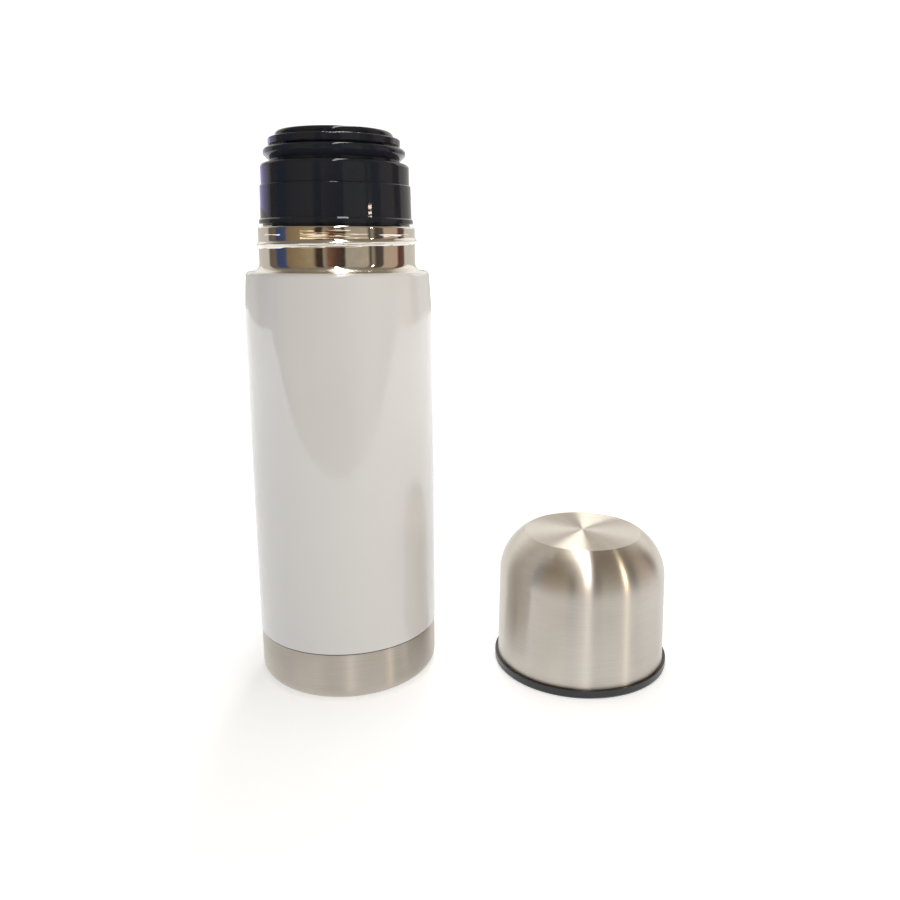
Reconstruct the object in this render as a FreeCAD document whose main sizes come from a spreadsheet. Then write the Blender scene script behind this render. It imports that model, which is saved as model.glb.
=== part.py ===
"""Vacuum flask with a screw-in push-button stopper and a steel cup, in millimetres, +Z up.

The origin is the centre of the flask's underside.  The stopper is screwed home in the neck, and
the cup stands rim-down on the same surface, beside the flask.
"""
import FreeCAD, Part
import Sketcher
import math
import os

# Driving dimensions.  Heights are above the surface that the flask stands on, except the cup's,
# which start at the cup's own rim.
SIZES = {
    # double-walled body
    "body_radius": 32.5,
    "coating_thickness": 0.25,
    "steel_wall": 0.6,
    "base_corner": 4.75,
    "base_opening_radius": 27.3,
    "band_height": 18.0,
    "taper_height": 122.0,
    "taper_arc": 267.3,
    "shoulder_radius": 31.5,
    "shoulder_height": 146.6,
    "shoulder_corner": 1.5,
    "collar_radius": 26.7,
    "collar_fillet": 3.0,
    "lip_height": 161.4,
    "lip_corner": 0.8,
    "bead_height": 154.25,
    "bead_lead": 3.4,
    "bead_reach": 0.7,
    "bead_half_width": 1.0,
    "bead_arc": 1.13,
    # base plate, its dimple and the disc that covers it
    "plate_rise": 2.5,
    "plate_step_radius": 24.0,
    "dimple_radius": 5.0,
    "dimple_rise": 1.6,
    "evacuation_radius": 0.6,
    "cover_radius": 23.2,
    # inner vessel and what lies in the vacuum
    "inner_radius": 29.0,
    "inner_wall": 0.5,
    "inner_floor_height": 8.0,
    "inner_floor_dish": 1.0,
    "inner_floor_flat": 20.0,
    "inner_shoulder_height": 129.0,
    "neck_foot_height": 138.0,
    "neck_foot_arc": 9.2,
    "neck_radius": 22.1,
    "lower_neck_radius": 20.4,
    "neck_step_height": 147.6,
    "neck_step_rise": 1.7,
    "foil_thickness": 0.2,
    "foil_foot_height": 12.0,
    "getter_radius": 4.0,
    "getter_thickness": 1.4,
    "clip_wall": 0.5,
    # screw thread between stopper and neck: two starts
    "thread_lead": 10.0,
    "thread_starts": 2,
    "thread_rise": 6.0,
    "thread_depth": 1.0,
    "thread_root": 0.9,
    "thread_crest": 0.45,
    "thread_height": 150.0,
    "half_pitch": 2.5,
    "thread_sink": 0.25,
    # stopper plug
    "plug_radius": 20.6,
    "plug_nose_radius": 19.0,
    "plug_foot_height": 140.0,
    "plug_step_height": 147.6,
    "plug_step_rise": 1.6,
    "plug_wall": 1.6,
    "plug_floor": 2.0,
    "plug_flange_radius": 22.5,
    "plug_flange_height": 163.4,
    "plug_flange_thickness": 2.6,
    "seal_groove_height": 142.8,
    "seal_groove_width": 3.0,
    "seal_groove_depth": 1.0,
    "seal_gap": 0.3,
    "seal_reach": 1.0,
    "port_radius": 6.0,
    "tube_wall": 1.4,
    "duct_height": 159.0,
    "duct_radius": 2.0,
    "duct_wall": 1.0,
    "lid_thickness": 2.0,
    "lid_radius": 20.4,
    "lid_bore_radius": 2.6,
    "stem_seal_radius": 4.4,
    "stem_seal_thickness": 1.2,
    # stopper head
    "seat_height": 161.6,
    "seat_radius": 25.0,
    "foot_height": 162.4,
    "foot_radius": 26.15,
    "foot_thickness": 1.7,
    "foot_slope": 0.5,
    "skirt_foot_radius": 25.65,
    "skirt_radius": 25.45,
    "skirt_edge": 0.3,
    "parting_height": 175.0,
    "head_radius": 25.0,
    "head_shoulder_height": 182.1,
    "head_shoulder_round": 1.3,
    "groove_radius": 21.9,
    "groove_width": 1.0,
    "lower_ring_radius": 23.8,
    "lower_ring_height": 185.0,
    "lower_ring_land": 1.0,
    "lower_ring_top": 187.0,
    "ring_slot_radius": 18.8,
    "ring_slot_width": 0.6,
    "upper_ring_radius": 22.1,
    "upper_ring_top": 190.2,
    "ring_bevel": 0.4,
    "ring_crest_arc": 1.0,
    "crown_radius": 19.8,
    "crown_height": 192.5,
    "crown_round": 1.3,
    "head_cavity_radius": 20.5,
    "head_cavity_height": 179.5,
    "guide_cavity_radius": 16.9,
    "button_bore_radius": 13.4,
    "bore_lip_height": 186.0,
    # push-button and valve
    "button_radius": 13.0,
    "button_wall": 1.2,
    "button_plate": 2.0,
    "button_dish": 0.5,
    "button_dish_arc": 155.0,
    "button_round": 0.6,
    "button_foot_height": 184.2,
    "button_flange_radius": 15.2,
    "button_flange_thickness": 1.5,
    "stem_radius": 2.2,
    "stem_gap": 0.05,
    "stem_foot_height": 135.2,
    "boss_radius": 4.2,
    "spring_radius": 6.0,
    "spring_wire_radius": 0.45,
    "spring_coils": 6,
    "valve_disc_radius": 9.0,
    "valve_disc_thickness": 1.6,
    "valve_disc_height": 136.4,
    "valve_seal_radius": 8.4,
    "valve_seal_thickness": 1.7,
    "clip_radius": 3.8,
    "clip_thickness": 0.8,
    # cup
    "cup_stand_x": 88.0,
    "cup_stand_y": 2.0,
    "cup_foot_radius": 31.2,
    "cup_radius": 30.7,
    "cup_height": 51.2,
    "cup_wall": 0.5,
    "cup_lip_radius": 32.4,
    "cup_lip_height": 3.0,
    "cup_lip_round": 0.8,
    "cup_side_height": 34.7,
    "cup_disc_radius": 21.5,
    "cup_disc_height": 50.7,
    "cup_dome_radius": 18.3,
    "cup_air_gap": 0.8,
    "liner_wall": 1.4,
    "liner_mouth_radius": 28.0,
    "liner_step_height": 12.0,
    "liner_thread_height": 4.6,
    "liner_thread_depth": 1.05,
    "liner_thread_root": 0.9,
    "liner_thread_crest": 0.4,
}

doc = FreeCAD.newDocument("vacuum_flask")
sheet = doc.addObject("Spreadsheet::Sheet", "Sizes")
for row, (alias, size) in enumerate(SIZES.items(), start=1):
    sheet.set("A%d" % row, alias)
    sheet.set("B%d" % row, str(size))
    sheet.setAlias("B%d" % row, alias)
doc.recompute()

pieces = []


def value(words):
    """The number that a sum of sheet cells such as "body_radius - steel_wall" stands for."""
    total = 0.0
    sign = 1
    for word in words.split():
        if word in "+-":
            sign = 1 if word == "+" else -1
        else:
            total += sign * SIZES[word]
    return total


def formula(words):
    """The same sum as an expression on the sheet."""
    return " ".join(word if word in "+-" else "Sizes." + word for word in words.split())


def origin_plane(body, role):
    """One of a body's own origin planes."""
    return next(plane for plane in body.Origin.OriginFeatures if plane.Role == role)


def arc_between(start, end, radius, side):
    """The short arc from start to end.  Its centre is on the left of the way for side 1."""
    chord = end - start
    reach = math.sqrt(max(radius ** 2 - chord.Length ** 2 / 4, 0.0))
    across = FreeCAD.Vector(-chord.y, chord.x, 0).normalize()
    centre = (start + end) * 0.5 + across * reach * side
    first, last = (start, end) if side > 0 else (end, start)
    angles = [math.atan2(point.y - centre.y, point.x - centre.x) for point in (first, last)]
    return Part.ArcOfCircle(Part.Circle(centre, FreeCAD.Vector(0, 0, 1), radius), *angles)


def bind_point(sketch, edge, end, place):
    """Holds one end of an edge at its radius and height from the origin."""
    for kind, axis, words in (("DistanceX", -2, place[0]), ("DistanceY", -1, place[1])):
        if words == "0":
            sketch.addConstraint(Sketcher.Constraint("PointOnObject", edge, end, axis))
            continue
        index = sketch.addConstraint(Sketcher.Constraint(kind, -1, 1, edge, end, value(words)))
        sketch.setExpression("Constraints[%d]" % index, formula(words))


def outline_sketch(body, label, outline, role="XZ_Plane"):
    """A closed outline in a plane through the axis.

    Each corner is (radius, height), each a sum of sheet cells or "0".  A corner with two more
    values, an arc's radius and side, is reached by that arc instead of by a straight line.
    """
    sketch = body.newObject("Sketcher::SketchObject", label)
    sketch.AttachmentSupport = [(origin_plane(body, role), "")]
    sketch.MapMode = "FlatFace"
    corners = []
    for corner in outline:
        along = 0.0 if corner[0] == "0" else value(corner[0])
        up = 0.0 if corner[1] == "0" else value(corner[1])
        corners.append(FreeCAD.Vector(along, up, 0))
    last_ends = []
    for index, corner in enumerate(outline):
        start, end = corners[index - 1], corners[index]
        if len(corner) == 2:
            edge = sketch.addGeometry(Part.LineSegment(start, end))
            start_end, end_end = 1, 2
        else:
            radius, side = corner[2], corner[3]
            edge = sketch.addGeometry(arc_between(start, end, value(radius), side))
            start_end, end_end = (1, 2) if side > 0 else (2, 1)
            bound = sketch.addConstraint(Sketcher.Constraint("Radius", edge, value(radius)))
            sketch.setExpression("Constraints[%d]" % bound, formula(radius))
        bind_point(sketch, edge, end_end, corner)
        last_ends.append((edge, start_end, end_end))
    for index, (edge, start_end, _) in enumerate(last_ends):
        before, _, end_before = last_ends[index - 1]
        sketch.addConstraint(Sketcher.Constraint("Coincident", before, end_before, edge, start_end))
    return sketch


def turned(label, outline, keep=True):
    """A body turned about Z from its outline."""
    body = doc.addObject("PartDesign::Body", label)
    body.Label = label
    sketch = outline_sketch(body, label + "_outline", outline)
    revolution = body.newObject("PartDesign::Revolution", label + "_turned")
    revolution.Profile = sketch
    revolution.ReferenceAxis = (sketch, ["V_Axis"])
    revolution.Angle = 360
    if keep:
        pieces.append(body)
    return body


def ring(label, inner, outer, foot, top, keep=True):
    """A plain ring or, with an inner radius of "0", a plain disc."""
    return turned(label, [(inner, foot), (outer, foot), (outer, top), (inner, top)], keep)


def add_ridge(body, label, outline, role, lead, rise, starts=""):
    """Winds a ridge onto a body as a right-handed helix about Z."""
    helix = body.newObject("PartDesign::AdditiveHelix", label)
    helix.Profile = outline_sketch(body, label + "_outline", outline, role)
    helix.ReferenceAxis = (helix.Profile[0], ["V_Axis"])
    helix.Mode = "pitch-height-angle"
    helix.setExpression("Pitch", formula(lead))
    helix.setExpression("Height", formula(rise))
    helix.Reversed = False
    body.Tip = helix
    if starts:
        pattern = body.newObject("PartDesign::PolarPattern", label + "_starts")
        pattern.Originals = [helix]
        pattern.Axis = (next(axis for axis in body.Origin.OriginFeatures
                             if axis.Role == "Z_Axis"), [""])
        pattern.Angle = 360
        pattern.setExpression("Occurrences", formula(starts))
        body.Tip = pattern


def combined(kind, label, first, second, keep=True):
    """Part::Cut, Part::Fuse or Part::Common of two objects."""
    result = doc.addObject(kind, label)
    result.Label = label
    result.Base = first
    result.Tool = second
    if keep:
        pieces.append(result)
    return result


def cross_cylinder(label, radius, half_length):
    """A cylinder along X through the axis, at the height of the pouring ducts."""
    cylinder = doc.addObject("Part::Cylinder", label)
    cylinder.setExpression("Radius", formula(radius))
    cylinder.setExpression("Height", "2 * (%s)" % formula(half_length))
    cylinder.Placement.Rotation = FreeCAD.Rotation(FreeCAD.Vector(0, 1, 0), 90)
    cylinder.setExpression("Placement.Base.x", "-(%s)" % formula(half_length))
    cylinder.setExpression("Placement.Base.z", formula("duct_height"))
    return cylinder


# ---------------------------------------------------------------- outer shell and coating

def make_outer_shell():
    """Drawn steel: rounded base corner, straight side, shoulder, fillet and collar with its lip."""
    outside = turned("shell_outside", [
        ("0", "0"),
        ("body_radius - coating_thickness - base_corner", "0"),
        ("body_radius - coating_thickness", "base_corner", "base_corner", 1),
        ("body_radius - coating_thickness", "taper_height"),
        ("shoulder_radius - coating_thickness", "shoulder_height - shoulder_corner",
         "taper_arc", 1),
        ("shoulder_radius - shoulder_corner", "shoulder_height - coating_thickness",
         "shoulder_corner - coating_thickness", 1),
        ("collar_radius + collar_fillet", "shoulder_height - coating_thickness"),
        ("collar_radius", "shoulder_height - coating_thickness + collar_fillet",
         "collar_fillet", -1),
        ("collar_radius", "lip_height - lip_corner"),
        ("collar_radius - lip_corner", "lip_height", "lip_corner", 1),
        ("0", "lip_height"),
    ], keep=False)
    add_ridge(outside, "collar_bead", [
        ("collar_radius - bead_reach", "bead_height - bead_half_width"),
        ("collar_radius", "bead_height - bead_half_width"),
        ("collar_radius", "bead_height + bead_half_width", "bead_arc", 1),
        ("collar_radius - bead_reach", "bead_height + bead_half_width"),
    ], "YZ_Plane", "bead_lead", "bead_lead")
    inside = turned("shell_inside", [
        ("0", "steel_wall"),
        ("body_radius - coating_thickness - base_corner", "steel_wall"),
        ("body_radius - coating_thickness - steel_wall", "base_corner",
         "base_corner - steel_wall", 1),
        ("body_radius - coating_thickness - steel_wall", "taper_height"),
        ("shoulder_radius - coating_thickness - steel_wall",
         "shoulder_height - shoulder_corner", "taper_arc", 1),
        ("shoulder_radius - shoulder_corner", "shoulder_height - coating_thickness - steel_wall",
         "shoulder_corner - coating_thickness - steel_wall", 1),
        ("collar_radius + collar_fillet", "shoulder_height - coating_thickness - steel_wall"),
        ("collar_radius - steel_wall", "shoulder_height - coating_thickness + collar_fillet",
         "collar_fillet + steel_wall", -1),
        ("collar_radius - steel_wall", "lip_height - steel_wall"),
        ("0", "lip_height - steel_wall"),
    ], keep=False)
    hollow = combined("Part::Cut", "shell_hollowed", outside, inside, keep=False)
    mouth = ring("shell_mouth", "0", "neck_radius", "inner_shoulder_height", "crown_height",
                 keep=False)
    open_top = combined("Part::Cut", "shell_open_top", hollow, mouth, keep=False)
    opening = ring("shell_opening", "0", "base_opening_radius", "0", "base_corner", keep=False)
    combined("Part::Cut", "outer_shell", open_top, opening)


def make_coating():
    """The lacquer over the side, from the bare band at the base to the shoulder's top."""
    turned("body_coating", [
        ("body_radius - coating_thickness", "band_height"),
        ("body_radius", "band_height"),
        ("body_radius", "taper_height"),
        ("shoulder_radius", "shoulder_height - shoulder_corner", "taper_arc", 1),
        ("shoulder_radius - shoulder_corner", "shoulder_height", "shoulder_corner", 1),
        ("shoulder_radius - shoulder_corner", "shoulder_height - coating_thickness"),
        ("shoulder_radius - coating_thickness", "shoulder_height - shoulder_corner",
         "shoulder_corner - coating_thickness", -1),
        ("body_radius - coating_thickness", "taper_height", "taper_arc", -1),
    ])


# ---------------------------------------------------------------- base

def make_base():
    """The base plate with its evacuation dimple, the seal in the dimple and the cover disc."""
    turned("base_plate", [
        ("base_opening_radius", "0"),
        ("base_opening_radius", "steel_wall"),
        ("plate_step_radius + steel_wall", "steel_wall"),
        ("plate_step_radius", "plate_rise + steel_wall"),
        ("dimple_radius + steel_wall", "plate_rise + steel_wall"),
        ("dimple_radius", "plate_rise + dimple_rise + steel_wall"),
        ("evacuation_radius", "plate_rise + dimple_rise + steel_wall"),
        ("evacuation_radius", "plate_rise + dimple_rise"),
        ("dimple_radius - steel_wall", "plate_rise + dimple_rise"),
        ("dimple_radius", "plate_rise"),
        ("plate_step_radius - steel_wall", "plate_rise"),
        ("plate_step_radius", "0"),
    ])
    turned("vacuum_seal", [
        ("0", "plate_rise + steel_wall"),
        ("dimple_radius - steel_wall - seal_gap", "plate_rise + steel_wall"),
        ("dimple_radius - steel_wall - seal_gap", "plate_rise + dimple_rise"),
        ("evacuation_radius", "plate_rise + dimple_rise"),
        ("evacuation_radius", "plate_rise + dimple_rise + steel_wall"),
        ("0", "plate_rise + dimple_rise + steel_wall"),
    ])
    ring("base_cover", "0", "cover_radius", "0", "plate_rise")


# ---------------------------------------------------------------- inner vessel and vacuum parts

def make_inner_vessel():
    """The vessel that holds the drink, its neck stepped and threaded for the stopper."""
    vessel = turned("inner_vessel", [
        ("inner_radius", "inner_floor_height"),
        ("inner_radius", "inner_shoulder_height"),
        ("lower_neck_radius + inner_wall", "neck_foot_height", "neck_foot_arc", 1),
        ("lower_neck_radius + inner_wall", "neck_step_height"),
        ("neck_radius + inner_wall", "neck_step_height + neck_step_rise"),
        ("neck_radius + inner_wall", "lip_height - steel_wall"),
        ("neck_radius", "lip_height - steel_wall"),
        ("neck_radius", "neck_step_height + neck_step_rise"),
        ("lower_neck_radius", "neck_step_height"),
        ("lower_neck_radius", "neck_foot_height - inner_wall"),
        ("inner_radius - inner_wall", "inner_shoulder_height", "neck_foot_arc", -1),
        ("inner_radius - inner_wall", "inner_floor_height"),
    ])
    add_ridge(vessel, "neck_thread", [
        ("neck_radius + thread_sink", "thread_height + half_pitch - thread_root"),
        ("neck_radius + thread_sink", "thread_height + half_pitch + thread_root"),
        ("neck_radius", "thread_height + half_pitch + thread_root"),
        ("neck_radius - thread_depth", "thread_height + half_pitch + thread_crest"),
        ("neck_radius - thread_depth", "thread_height + half_pitch - thread_crest"),
        ("neck_radius", "thread_height + half_pitch - thread_root"),
    ], "XZ_Plane", "thread_lead", "thread_rise", "thread_starts")
    turned("inner_floor", [
        ("0", "inner_floor_height + inner_floor_dish"),
        ("inner_floor_flat", "inner_floor_height"),
        ("inner_radius - inner_wall", "inner_floor_height"),
        ("inner_radius - inner_wall", "inner_floor_height + inner_wall"),
        ("inner_floor_flat", "inner_floor_height + inner_wall"),
        ("0", "inner_floor_height + inner_floor_dish + inner_wall"),
    ])
    ring("radiation_foil", "inner_radius", "inner_radius + foil_thickness", "foil_foot_height",
         "inner_shoulder_height")


def make_getter():
    """The getter pill, held under the inner floor by a clip, in the vacuum."""
    pill = ring("getter_pill", "0", "getter_radius", "inner_floor_height - getter_thickness",
                "inner_floor_height")
    clip = turned("getter_clip", [
        ("getter_radius - clip_wall", "inner_floor_height - getter_thickness - clip_wall"),
        ("getter_radius + clip_wall", "inner_floor_height - getter_thickness - clip_wall"),
        ("getter_radius + clip_wall", "inner_floor_height"),
        ("getter_radius", "inner_floor_height"),
        ("getter_radius", "inner_floor_height - getter_thickness"),
        ("getter_radius - clip_wall", "inner_floor_height - getter_thickness"),
    ])
    for piece in (pill, clip):
        piece.setExpression("Placement.Base.x", formula("inner_floor_flat + getter_radius"))


# ---------------------------------------------------------------- stopper

def make_stopper_plug():
    """The plug in the neck: threaded wall, pouring ducts, valve tube, foam, lid and seals."""
    plug = turned("plug_turned", [
        ("plug_nose_radius - plug_wall - seal_groove_depth", "plug_foot_height"),
        ("plug_nose_radius", "plug_foot_height"),
        ("plug_nose_radius", "seal_groove_height"),
        ("plug_nose_radius - seal_groove_depth", "seal_groove_height"),
        ("plug_nose_radius - seal_groove_depth", "seal_groove_height + seal_groove_width"),
        ("plug_nose_radius", "seal_groove_height + seal_groove_width"),
        ("plug_nose_radius", "plug_step_height"),
        ("plug_radius", "plug_step_height + plug_step_rise"),
        ("plug_radius", "plug_flange_height"),
        ("plug_flange_radius", "plug_flange_height"),
        ("plug_flange_radius", "plug_flange_height + plug_flange_thickness"),
        ("plug_radius - plug_wall", "plug_flange_height + plug_flange_thickness"),
        ("plug_radius - plug_wall", "plug_step_height + plug_step_rise + plug_wall"),
        ("plug_nose_radius - plug_wall - seal_groove_depth", "plug_step_height"),
    ], keep=False)
    add_ridge(plug, "plug_thread", [
        ("plug_radius - thread_sink", "thread_height - thread_root"),
        ("plug_radius", "thread_height - thread_root"),
        ("plug_radius + thread_depth", "thread_height - thread_crest"),
        ("plug_radius + thread_depth", "thread_height + thread_crest"),
        ("plug_radius", "thread_height + thread_root"),
        ("plug_radius - thread_sink", "thread_height + thread_root"),
    ], "XZ_Plane", "thread_lead", "thread_rise", "thread_starts")
    tube_core = ring("tube_core", "0", "port_radius + tube_wall", "plug_foot_height",
                     "plug_flange_height", keep=False)
    duct_bore = cross_cylinder("duct_bore", "duct_radius", "body_radius")
    duct_outside = cross_cylinder("duct_outside", "duct_radius + duct_wall",
                                  "plug_radius - duct_wall")
    sleeves = combined("Part::Cut", "duct_sleeves", duct_outside, tube_core, keep=False)
    joined = combined("Part::Fuse", "plug_with_sleeves", plug, sleeves, keep=False)
    combined("Part::Cut", "stopper_plug", joined, duct_bore)
    tube = turned("tube_turned", [
        ("port_radius", "plug_foot_height"),
        ("plug_nose_radius - plug_wall - seal_groove_depth", "plug_foot_height"),
        ("plug_nose_radius - plug_wall - seal_groove_depth", "plug_foot_height + plug_floor"),
        ("port_radius + tube_wall", "plug_foot_height + plug_floor"),
        ("port_radius + tube_wall", "plug_flange_height + plug_flange_thickness"),
        ("port_radius", "plug_flange_height + plug_flange_thickness"),
    ], keep=False)
    combined("Part::Cut", "valve_tube", tube, duct_bore)
    foam = turned("foam_turned", [
        ("port_radius + tube_wall", "plug_foot_height + plug_floor"),
        ("plug_nose_radius - plug_wall - seal_groove_depth", "plug_foot_height + plug_floor"),
        ("plug_nose_radius - plug_wall - seal_groove_depth", "plug_step_height"),
        ("plug_radius - plug_wall", "plug_step_height + plug_step_rise + plug_wall"),
        ("plug_radius - plug_wall", "plug_flange_height + plug_flange_thickness"),
        ("port_radius + tube_wall", "plug_flange_height + plug_flange_thickness"),
    ], keep=False)
    combined("Part::Cut", "plug_insulation", foam, duct_outside)
    lid_foot = "plug_flange_height + plug_flange_thickness"
    turned("plug_lid", [
        ("lid_bore_radius", lid_foot),
        ("lid_radius", lid_foot),
        ("lid_radius", lid_foot + " + lid_thickness"),
        ("stem_seal_radius", lid_foot + " + lid_thickness"),
        ("stem_seal_radius", lid_foot + " + lid_thickness - stem_seal_thickness"),
        ("lid_bore_radius", lid_foot + " + lid_thickness - stem_seal_thickness"),
    ])
    ring("stem_seal", "lid_bore_radius", "stem_seal_radius",
         lid_foot + " + lid_thickness - stem_seal_thickness", lid_foot + " + lid_thickness")
    ring("plug_seal", "plug_nose_radius - seal_groove_depth + seal_gap",
         "plug_nose_radius + seal_reach", "seal_groove_height + seal_gap",
         "seal_groove_height + seal_groove_width - seal_gap")


def make_stopper_head():
    """The skirt that is gripped to unscrew the stopper, and the ringed head above it."""
    turned("stopper_skirt", [
        ("plug_radius", "seat_height"),
        ("seat_radius", "seat_height"),
        ("seat_radius", "foot_height"),
        ("foot_radius", "foot_height"),
        ("foot_radius", "foot_height + foot_thickness - foot_slope"),
        ("skirt_foot_radius", "foot_height + foot_thickness"),
        ("skirt_radius", "parting_height - skirt_edge"),
        ("skirt_radius - skirt_edge", "parting_height", "skirt_edge", 1),
        ("plug_flange_radius", "parting_height"),
        ("plug_flange_radius", "plug_flange_height"),
        ("plug_radius", "plug_flange_height"),
    ])
    turned("stopper_head", [
        ("head_cavity_radius", "plug_flange_height + plug_flange_thickness"),
        ("plug_flange_radius", "plug_flange_height + plug_flange_thickness"),
        ("plug_flange_radius", "parting_height"),
        ("head_radius", "parting_height"),
        ("head_radius", "head_shoulder_height - head_shoulder_round"),
        ("head_radius - head_shoulder_round", "head_shoulder_height", "head_shoulder_round", 1),
        ("groove_radius", "head_shoulder_height"),
        ("groove_radius", "head_shoulder_height + groove_width"),
        ("lower_ring_radius", "lower_ring_height"),
        ("lower_ring_radius", "lower_ring_height + lower_ring_land"),
        ("lower_ring_radius - lower_ring_land", "lower_ring_top", "ring_crest_arc", 1),
        ("ring_slot_radius", "lower_ring_top"),
        ("ring_slot_radius", "lower_ring_top + ring_slot_width"),
        ("upper_ring_radius - ring_bevel", "lower_ring_top + ring_slot_width"),
        ("upper_ring_radius", "lower_ring_top + ring_slot_width + ring_bevel"),
        ("upper_ring_radius", "upper_ring_top - ring_bevel"),
        ("upper_ring_radius - ring_bevel", "upper_ring_top", "ring_bevel", 1),
        ("crown_radius", "upper_ring_top"),
        ("crown_radius", "crown_height - crown_round"),
        ("crown_radius - crown_round", "crown_height", "crown_round", 1),
        ("button_bore_radius", "crown_height"),
        ("button_bore_radius", "bore_lip_height"),
        ("guide_cavity_radius", "bore_lip_height"),
        ("guide_cavity_radius", "head_cavity_height"),
        ("head_cavity_radius", "head_cavity_height"),
    ])


def make_button_and_valve():
    """The push-button, its spring, and the stem that opens the valve under the plug."""
    plate_foot = "crown_height - button_plate"
    turned("push_button", [
        ("stem_radius + stem_gap", "button_foot_height"),
        ("boss_radius", "button_foot_height"),
        ("boss_radius", plate_foot),
        ("button_radius - button_wall", plate_foot),
        ("button_radius - button_wall", "button_foot_height"),
        ("button_flange_radius", "button_foot_height"),
        ("button_flange_radius", "button_foot_height + button_flange_thickness"),
        ("button_radius", "button_foot_height + button_flange_thickness"),
        ("button_radius", "crown_height - button_round"),
        ("button_radius - button_round", "crown_height", "button_round", 1),
        ("0", "crown_height - button_dish", "button_dish_arc", -1),
        ("0", plate_foot),
        ("stem_radius + stem_gap", plate_foot),
    ])
    ring("valve_stem", "0", "stem_radius", "stem_foot_height", plate_foot)
    turned("valve_disc", [
        ("stem_radius + stem_gap", "valve_disc_height"),
        ("valve_disc_radius", "valve_disc_height"),
        ("valve_disc_radius", "valve_disc_height + valve_disc_thickness"),
        ("stem_radius + stem_gap", "valve_disc_height + valve_disc_thickness"),
    ])
    seal_foot = "valve_disc_height + valve_disc_thickness"
    ring("valve_seal", "stem_radius + stem_gap", "valve_seal_radius", seal_foot,
         seal_foot + " + valve_seal_thickness")
    ring("stem_clip", "stem_radius + stem_gap", "clip_radius",
         "valve_disc_height - clip_thickness", "valve_disc_height")


def make_spring():
    """The coil that returns the button, standing on the plug's lid round the stem."""
    body = doc.addObject("PartDesign::Body", "button_spring")
    body.Label = "button_spring"
    sketch = body.newObject("Sketcher::SketchObject", "spring_wire")
    sketch.AttachmentSupport = [(origin_plane(body, "XZ_Plane"), "")]
    sketch.MapMode = "FlatFace"
    foot = "plug_flange_height + plug_flange_thickness + lid_thickness + spring_wire_radius"
    centre = FreeCAD.Vector(value("spring_radius"), value(foot), 0)
    wire = Part.Circle(centre, FreeCAD.Vector(0, 0, 1), value("spring_wire_radius"))
    edge = sketch.addGeometry(wire)
    bind_point(sketch, edge, 3, ("spring_radius", foot))
    bound = sketch.addConstraint(Sketcher.Constraint("Radius", edge, value("spring_wire_radius")))
    sketch.setExpression("Constraints[%d]" % bound, formula("spring_wire_radius"))
    coil = body.newObject("PartDesign::AdditiveHelix", "spring_coil")
    coil.Profile = sketch
    coil.ReferenceAxis = (sketch, ["V_Axis"])
    coil.Mode = "height-turns-angle"
    coil.setExpression("Height", formula(
        "crown_height - button_plate - spring_wire_radius") + " - (%s)" % formula(foot))
    coil.setExpression("Turns", formula("spring_coils"))
    coil.Reversed = False
    body.Tip = coil
    pieces.append(body)


# ---------------------------------------------------------------- cup

def make_cup():
    """The steel cup, rim-down, with the moulded liner whose lip is the rim."""
    dome = [
        ("cup_radius", "cup_side_height"),
        ("cup_disc_radius", "cup_disc_height", "cup_dome_radius", 1),
        ("0", "cup_height"),
    ]
    shell = turned("cup_shell", [
        ("cup_foot_radius - cup_wall", "cup_lip_height"),
        ("cup_foot_radius", "cup_lip_height"),
    ] + dome + [
        ("0", "cup_height - cup_wall"),
        ("cup_disc_radius - cup_wall", "cup_disc_height - cup_wall"),
        ("cup_radius - cup_wall", "cup_side_height", "cup_dome_radius", -1),
    ])
    gap = " - cup_wall - cup_air_gap"
    liner = turned("cup_liner", [
        ("liner_mouth_radius", "0"),
        ("cup_lip_radius - cup_lip_round", "0"),
        ("cup_lip_radius", "cup_lip_round", "cup_lip_round", 1),
        ("cup_lip_radius", "cup_lip_height"),
        ("cup_foot_radius - cup_wall", "cup_lip_height"),
        ("cup_foot_radius" + gap, "cup_lip_height + cup_air_gap"),
        ("cup_radius" + gap, "cup_side_height"),
        ("cup_disc_radius" + gap, "cup_disc_height" + gap, "cup_dome_radius", 1),
        ("0", "cup_height" + gap),
        ("0", "cup_height" + gap + " - liner_wall"),
        ("cup_disc_radius" + gap + " - liner_wall", "cup_disc_height" + gap + " - liner_wall"),
        ("cup_radius" + gap + " - liner_wall", "cup_side_height", "cup_dome_radius", -1),
        ("cup_foot_radius" + gap + " - liner_wall", "liner_step_height"),
        ("liner_mouth_radius", "liner_step_height"),
    ])
    add_ridge(liner, "liner_thread", [
        ("liner_mouth_radius + thread_sink", "liner_thread_height - liner_thread_root"),
        ("liner_mouth_radius + thread_sink", "liner_thread_height + liner_thread_root"),
        ("liner_mouth_radius", "liner_thread_height + liner_thread_root"),
        ("liner_mouth_radius - liner_thread_depth", "liner_thread_height + liner_thread_crest"),
        ("liner_mouth_radius - liner_thread_depth", "liner_thread_height - liner_thread_crest"),
        ("liner_mouth_radius", "liner_thread_height - liner_thread_root"),
    ], "YZ_Plane", "bead_lead", "bead_lead")
    for piece in (shell, liner):
        piece.setExpression("Placement.Base.x", formula("cup_stand_x"))
        piece.setExpression("Placement.Base.y", formula("cup_stand_y"))


make_outer_shell()
make_coating()
make_base()
make_inner_vessel()
make_getter()
make_stopper_plug()
make_stopper_head()
make_button_and_valve()
make_spring()
make_cup()
doc.recompute()

for thing in doc.Objects:
    if "Invalid" in thing.State or "Error" in thing.State:
        raise RuntimeError("%s did not build: %s" % (thing.Name, thing.State))
for piece in pieces:
    if piece.Shape.isNull() or not piece.Shape.isValid() or not piece.Shape.Solids:
        raise RuntimeError("%s has no valid solid" % piece.Label)

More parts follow.
